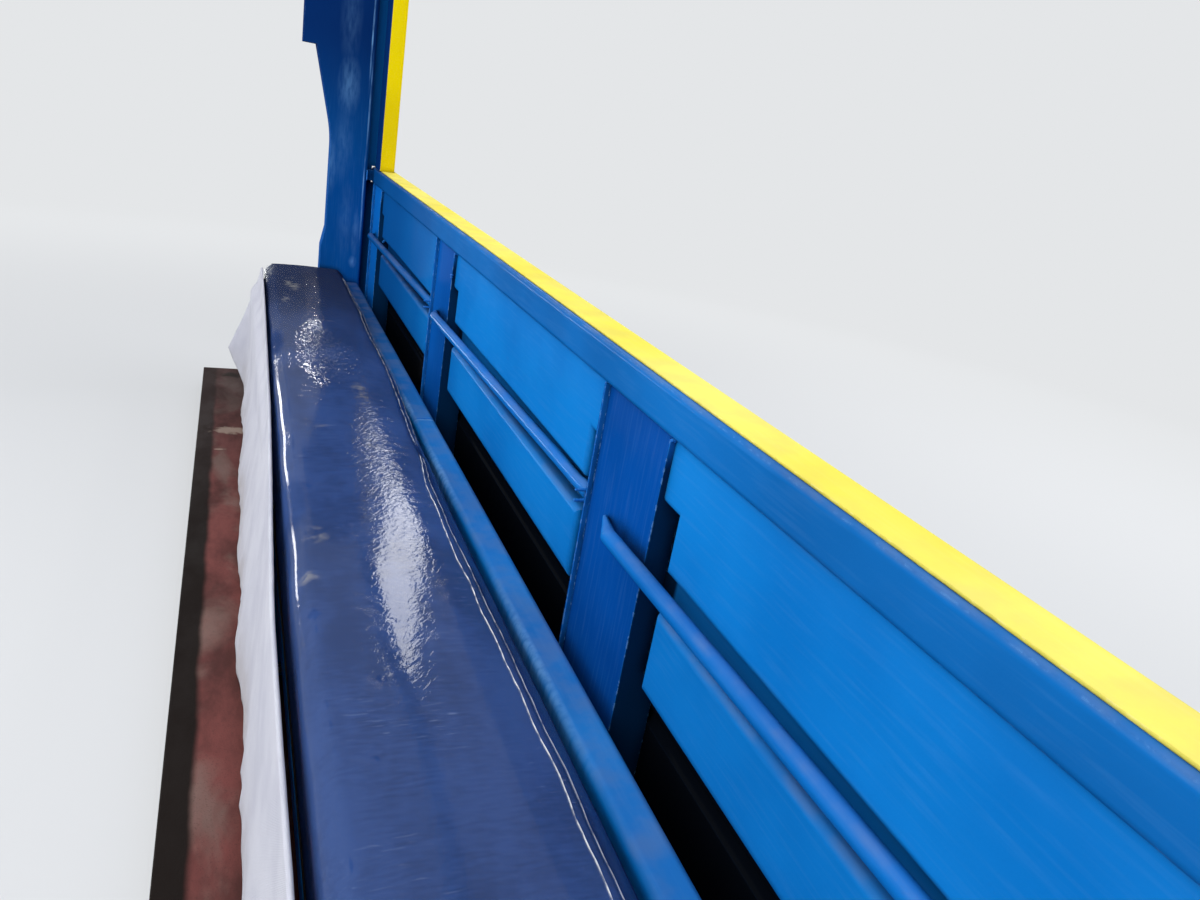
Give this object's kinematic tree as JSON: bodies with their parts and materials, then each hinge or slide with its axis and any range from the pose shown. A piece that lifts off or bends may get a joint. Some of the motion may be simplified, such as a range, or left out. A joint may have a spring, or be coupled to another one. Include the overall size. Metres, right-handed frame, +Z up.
{
  "type": "jeepney passenger bench and side wall",
  "caption": "Blue steel side wall of a jeepney's passenger space with an open window, yellow sill, back rails and a padded bench, on a strip of red floor.",
  "frame": {"origin": "centre of the underside of the whole piece, on the underside of the floor bearers", "axes": "+X outboard through the window, +Y forward to the cab, +Z up"},
  "size_m": [0.456, 2.797, 1.208],
  "materials": {
    "blue_paint": "glossy brushed enamel",
    "yellow_paint": "glossy brushed enamel",
    "floor_paint": "worn and scuffed red oxide paint",
    "underbody": "dull black underbody paint",
    "board": "bare plywood",
    "vinyl": "navy vinyl under clear plastic film",
    "cloth": "thin white cotton"
  },
  "bodies": {
    "root": {"floor_plate": "floor_paint", "side_rail": "underbody", "floor_bearer_1": "underbody", "floor_bearer_2": "underbody", "floor_bearer_3": "underbody", "floor_bearer_4": "underbody", "outer_skin": "blue_paint", "post_1": "blue_paint", "post_2": "blue_paint", "post_3": "blue_paint", "post_4": "blue_paint", "lining_1": "blue_paint", "lining_2": "blue_paint", "lining_3": "blue_paint", "back_rail_1": "blue_paint", "back_rail_2": "blue_paint", "back_rail_3": "blue_paint", "sill_tube": "blue_paint", "sill_cap": "yellow_paint", "roof_rail": "blue_paint", "front_jamb": "yellow_paint", "rear_jamb": "yellow_paint", "front_pillar": "blue_paint", "pillar_spacers": "blue_paint", "pillar_closer": "blue_paint", "rear_pillar": "blue_paint", "front_legs": "blue_paint", "rear_legs": "blue_paint", "aisle_rail": "blue_paint", "cross_bars": "blue_paint", "ledge_front": "blue_paint", "ledge_rear": "blue_paint", "seat_board": "board", "cushion": "vinyl", "skirt_cloth": "cloth"}
  },
  "joints": []
}
